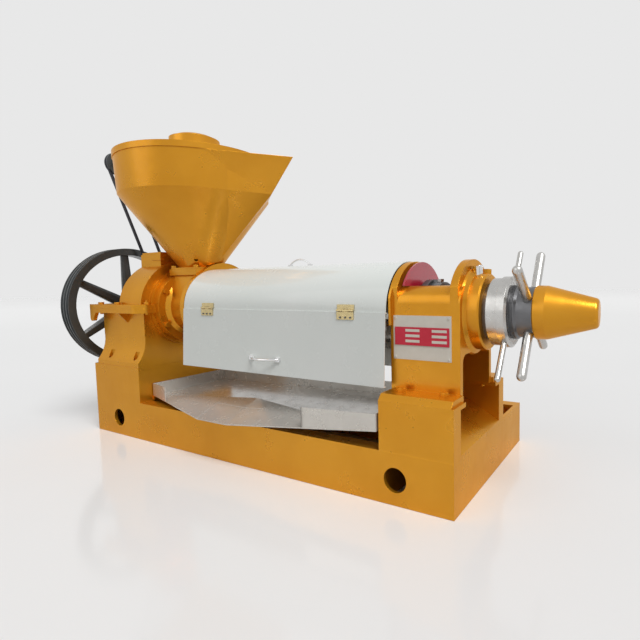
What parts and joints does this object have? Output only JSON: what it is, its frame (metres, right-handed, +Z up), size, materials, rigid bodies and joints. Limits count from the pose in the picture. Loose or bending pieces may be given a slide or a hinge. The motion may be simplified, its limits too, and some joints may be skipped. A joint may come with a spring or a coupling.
{
  "type": "screw oil press",
  "caption": "Screw press for oil seed on a welded base: hopper, gear case, spoked pulley, hinged cover over the cage, oil tray, discharge frame and adjusting end.",
  "frame": {"origin": "middle of the base's footprint on the floor", "axes": "+X along the press from the drive end to the discharge end, -Y the operator's side, +Z up"},
  "size_m": [2.047, 0.709, 1.176],
  "materials": {
    "golden_paint": "glossy metallic golden paint",
    "white_paint": "glossy white paint",
    "machined_steel": "machined steel",
    "dark_wheel_paint": "dark grey paint on cast iron",
    "rubber_belt": "black rubber",
    "brass": "brass",
    "chrome": "chrome plate",
    "red_paint": "glossy red paint",
    "plate_print": "printed aluminium sheet",
    "tray_sheet": "pale paint on sheet steel",
    "dark_steel": "dark oiled steel",
    "bronze": "bronze"
  },
  "bodies": {
    "press": {"base_frame": "golden_paint", "boss_bolt": "golden_paint", "boss_plug": "chrome", "cage_bolts": "dark_steel", "cage_lower": "machined_steel", "cage_upper": "machined_steel", "cake_chute": "golden_paint", "case_bolts": "golden_paint", "discharge_frame": "golden_paint", "discharge_guard": "red_paint", "feed_body": "golden_paint", "feed_bolts": "golden_paint", "feeder_belt": "rubber_belt", "feeder_gearbox": "golden_paint", "foot_bolts": "golden_paint", "front_rail": "white_paint", "gear_case_lower": "golden_paint", "gear_case_upper": "golden_paint", "hopper": "golden_paint", "hopper_bolts": "golden_paint", "hopper_lid": "golden_paint", "inspection_cover": "golden_paint", "nameplate": "plate_print", "press_bars": "machined_steel", "rear_panel": "white_paint", "shaft_bearings": "machined_steel", "tray_runners": "golden_paint"},
    "shaft_carriage": {"thrust_bearing": "machined_steel"},
    "main_shaft": {"main_shaft": "machined_steel", "main_gear": "machined_steel", "feed_worm": "machined_steel", "press_worms": "machined_steel", "choke_cone": "machined_steel", "choke_collar": "dark_steel", "collar_screw": "machined_steel"},
    "adjuster": {"adjusting_sleeve": "dark_steel", "polished_collar": "machined_steel", "hub_rods": "machined_steel", "end_cap": "golden_paint"},
    "lock_ring": {"lock_ring": "machined_steel", "lock_rods": "machined_steel"},
    "intermediate_shaft": {"intermediate_shaft": "machined_steel", "first_gear": "machined_steel", "second_pinion": "machined_steel", "small_pulley": "dark_wheel_paint"},
    "input_shaft": {"input_shaft": "machined_steel", "input_pinion": "machined_steel", "drive_pulley": "dark_wheel_paint"},
    "feeder_shaft": {"feeder_shaft": "machined_steel", "feeder_pulley": "dark_wheel_paint"},
    "auger": {"auger": "machined_steel", "worm_wheel": "bronze"},
    "cover": {"cover_shell": "white_paint", "cover_handle": "chrome", "door_hinge_upper": "brass", "hinge_pins": "machined_steel"},
    "front_door": {"front_door": "white_paint", "door_pull": "chrome", "door_hinge_lower": "brass"},
    "oil_tray": {"oil_tray": "tray_sheet"}
  },
  "joints": [
    {"name": "shaft_slide", "type": "slide", "parent": "press", "child": "shaft_carriage", "axis": [1, 0, 0], "range_m": [-0.005, 0.005]},
    {"name": "adjuster_turn", "type": "hinge", "parent": "shaft_carriage", "child": "adjuster", "pos_m": [0.9, -0.108, 0.506], "axis": [1, 0, 0], "range_deg": [-180, 180]},
    {"name": "lock_ring_turn", "type": "hinge", "parent": "adjuster", "child": "lock_ring", "pos_m": [0.878, -0.108, 0.506], "axis": [1, 0, 0], "range_deg": [0, 90]},
    {"name": "main_shaft_turn", "type": "hinge", "parent": "shaft_carriage", "child": "main_shaft", "pos_m": [0, -0.108, 0.506], "axis": [1, 0, 0], "continuous": true},
    {"name": "intermediate_shaft_turn", "type": "hinge", "parent": "press", "child": "intermediate_shaft", "pos_m": [-0.65, 0.06, 0.506], "axis": [1, 0, 0], "continuous": true},
    {"name": "input_shaft_turn", "type": "hinge", "parent": "press", "child": "input_shaft", "pos_m": [-0.8, -0.108, 0.506], "axis": [1, 0, 0], "continuous": true},
    {"name": "feeder_shaft_turn", "type": "hinge", "parent": "press", "child": "feeder_shaft", "pos_m": [-0.6, -0.157, 1.128], "axis": [1, 0, 0], "continuous": true},
    {"name": "auger_turn", "type": "hinge", "parent": "press", "child": "auger", "pos_m": [-0.388, -0.108, 0.9], "axis": [0, 0, 1], "continuous": true},
    {"name": "cover_hinge", "type": "hinge", "parent": "press", "child": "cover", "pos_m": [0.14, 0.0455, 0.502], "axis": [-1, 0, 0], "range_deg": [0, 12]},
    {"name": "door_hinge", "type": "hinge", "parent": "cover", "child": "front_door", "pos_m": [0.14, -0.2605, 0.512], "axis": [-1, 0, 0], "range_deg": [0, 120]},
    {"name": "tray_slide", "type": "slide", "parent": "press", "child": "oil_tray", "axis": [0, -1, 0], "range_m": [0, 0.25]}
  ],
  "couplings": [
    {"joint": "shaft_slide", "follows": "adjuster_turn", "m_per_rad": 0.00159},
    {"joint": "intermediate_shaft_turn", "follows": "main_shaft_turn", "ratio": -3},
    {"joint": "input_shaft_turn", "follows": "main_shaft_turn", "ratio": 7.5},
    {"joint": "feeder_shaft_turn", "follows": "main_shaft_turn", "ratio": -2.782},
    {"joint": "auger_turn", "follows": "main_shaft_turn", "ratio": -0.2782}
  ]
}
